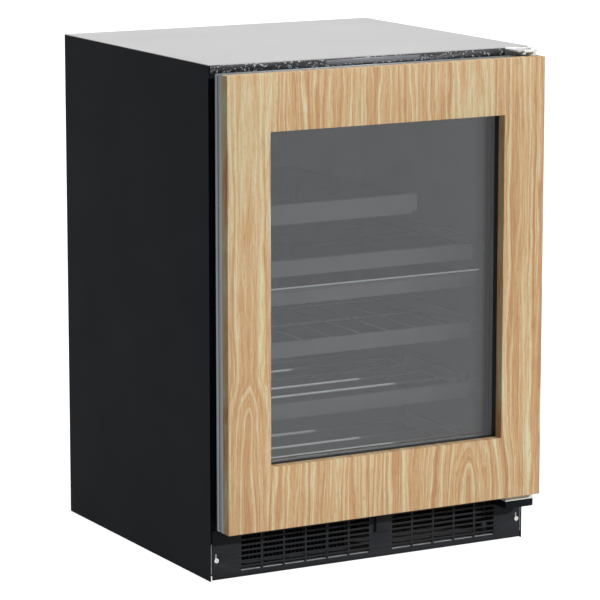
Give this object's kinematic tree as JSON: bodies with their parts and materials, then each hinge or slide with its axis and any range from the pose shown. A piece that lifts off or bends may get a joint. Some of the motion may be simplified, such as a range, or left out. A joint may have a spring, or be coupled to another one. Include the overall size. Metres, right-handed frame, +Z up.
{
  "type": "undercounter refrigerator",
  "caption": "Undercounter refrigerator with a wood-framed glass door hinged on the right, pull-out wire racks, a short glass shelf and a slotted kick plate.",
  "frame": {"origin": "on the floor, at the bottom centre of the closed refrigerator's box: midway between the sides, and midway between the door's face and the cabinet's back", "axes": "+Z up, the door faces -Y, +X to the right of someone facing the door"},
  "size_m": [0.606, 0.6054, 0.857],
  "materials": {
    "side_sheet": "black textured powder coat",
    "top_sheet": "satin light grey",
    "galvanised_sheet": "matte galvanised",
    "cover_sheet": "matte dark grey",
    "insulation_foam": null,
    "liner_plastic": "satin moulded",
    "black_plastic": "moulded black",
    "insert_plastic": "smooth",
    "zinc_plate": "bright zinc plate",
    "nylon": "natural nylon",
    "control_glass": "gloss black",
    "light_diffuser": "opal",
    "slotted_steel": "satin grey",
    "coil_fins": "mill finish",
    "spacer_aluminium": "matte mill finish",
    "motor_steel": "dark grey",
    "compressor_shell": "black painted",
    "mount_rubber": "matte",
    "relay_plastic": "off-white",
    "condenser_fins": "black coated",
    "copper": "copper tube",
    "shelf_glass": "clear tempered",
    "shelf_trim": "satin anodised grey",
    "rack_wire": "nickel plated wire",
    "oak": "clear satin oil on white oak",
    "door_aluminium": "satin anodised",
    "tinted_glass": "grey tinted",
    "seal_rubber": "matte black"
  },
  "bodies": {
    "cabinet": {"side_panels": "side_sheet", "kick_plate": "side_sheet", "lower_hinge_bracket": "side_sheet", "top_panel": "top_sheet", "back_panel": "galvanised_sheet", "base_pan": "galvanised_sheet", "rear_cover": "cover_sheet", "condenser_shroud": "cover_sheet", "foam_insulation": "insulation_foam", "liner": "liner_plastic", "evaporator_cover": "liner_plastic", "front_fascia": "black_plastic", "door_switch": "black_plastic", "drain_pan": "black_plastic", "power_inlet": "black_plastic", "fascia_insert": "insert_plastic", "upper_hinge_plate": "zinc_plate", "screws": "zinc_plate", "control_panel": "control_glass", "light_bars": "light_diffuser", "shelf_standards": "slotted_steel", "slide_rails": "slotted_steel", "evaporator_coil": "coil_fins", "evaporator_fan_motor": "motor_steel", "condenser_fan_motor": "motor_steel", "compressor": "compressor_shell", "compressor_mounts": "mount_rubber", "relay_cover": "relay_plastic", "control_box": "relay_plastic", "condenser": "condenser_fins", "refrigerant_lines": "copper", "top_shelf_glass": "shelf_glass", "divider_glass": "shelf_glass", "top_shelf_frame": "shelf_trim", "divider_bar": "shelf_trim"},
    "door": {"panel_stiles": "oak", "panel_rails": "oak", "door_frame": "door_aluminium", "glazing_bead": "black_plastic", "outer_pane": "tinted_glass", "inner_pane": "tinted_glass", "glass_spacer": "spacer_aluminium", "inner_frame": "black_plastic", "door_seal": "seal_rubber", "hinge_bushes": "nylon"},
    "top_rack": {"rack_1": "rack_wire", "rack_1_front": "shelf_trim", "rack_1_glass": "shelf_glass"},
    "second_rack": {"rack_2": "rack_wire", "rack_2_front": "shelf_trim"},
    "third_rack": {"rack_3": "rack_wire", "rack_3_front": "shelf_trim"},
    "bottom_rack": {"rack_4": "rack_wire", "rack_4_front": "shelf_trim"},
    "evaporator_fan": {"evaporator_fan_blade": "black_plastic"},
    "condenser_fan": {"condenser_fan_blade": "black_plastic"},
    "front_left_foot": {"foot_front_left": "black_plastic"},
    "front_right_foot": {"foot_front_right": "black_plastic"},
    "rear_left_foot": {"foot_rear_left": "black_plastic"},
    "rear_right_foot": {"foot_rear_right": "black_plastic"}
  },
  "joints": [
    {"name": "door_hinge", "type": "hinge", "parent": "cabinet", "child": "door", "pos_m": [0.29, -0.27435, 0.4689], "axis": [0, 0, 1], "range_deg": [0, 110]},
    {"name": "top_rack_slide", "type": "slide", "parent": "cabinet", "child": "top_rack", "axis": [0, -1, 0], "range_m": [0, 0.2]},
    {"name": "second_rack_slide", "type": "slide", "parent": "cabinet", "child": "second_rack", "axis": [0, -1, 0], "range_m": [0, 0.2]},
    {"name": "third_rack_slide", "type": "slide", "parent": "cabinet", "child": "third_rack", "axis": [0, -1, 0], "range_m": [0, 0.2]},
    {"name": "bottom_rack_slide", "type": "slide", "parent": "cabinet", "child": "bottom_rack", "axis": [0, -1, 0], "range_m": [0, 0.2]},
    {"name": "evaporator_fan_spin", "type": "hinge", "parent": "cabinet", "child": "evaporator_fan", "pos_m": [0, 0.23765, 0.735], "axis": [0, 1, 0], "continuous": true},
    {"name": "condenser_fan_spin", "type": "hinge", "parent": "cabinet", "child": "condenser_fan", "pos_m": [-0.13, 0.12565, 0.11], "axis": [0, 1, 0], "continuous": true},
    {"name": "front_left_foot_screw", "type": "slide", "parent": "cabinet", "child": "front_left_foot", "axis": [0, 0, -1], "range_m": [0, 0.0254]},
    {"name": "front_right_foot_screw", "type": "slide", "parent": "cabinet", "child": "front_right_foot", "axis": [0, 0, -1], "range_m": [0, 0.0254]},
    {"name": "rear_left_foot_screw", "type": "slide", "parent": "cabinet", "child": "rear_left_foot", "axis": [0, 0, -1], "range_m": [0, 0.0254]},
    {"name": "rear_right_foot_screw", "type": "slide", "parent": "cabinet", "child": "rear_right_foot", "axis": [0, 0, -1], "range_m": [0, 0.0254]}
  ],
  "couplings": [
    {"joint": "top_rack_slide", "follows": "door_hinge", "m_per_rad": 0.1},
    {"joint": "second_rack_slide", "follows": "door_hinge", "m_per_rad": 0.1},
    {"joint": "third_rack_slide", "follows": "door_hinge", "m_per_rad": 0.1},
    {"joint": "bottom_rack_slide", "follows": "door_hinge", "m_per_rad": 0.1}
  ]
}
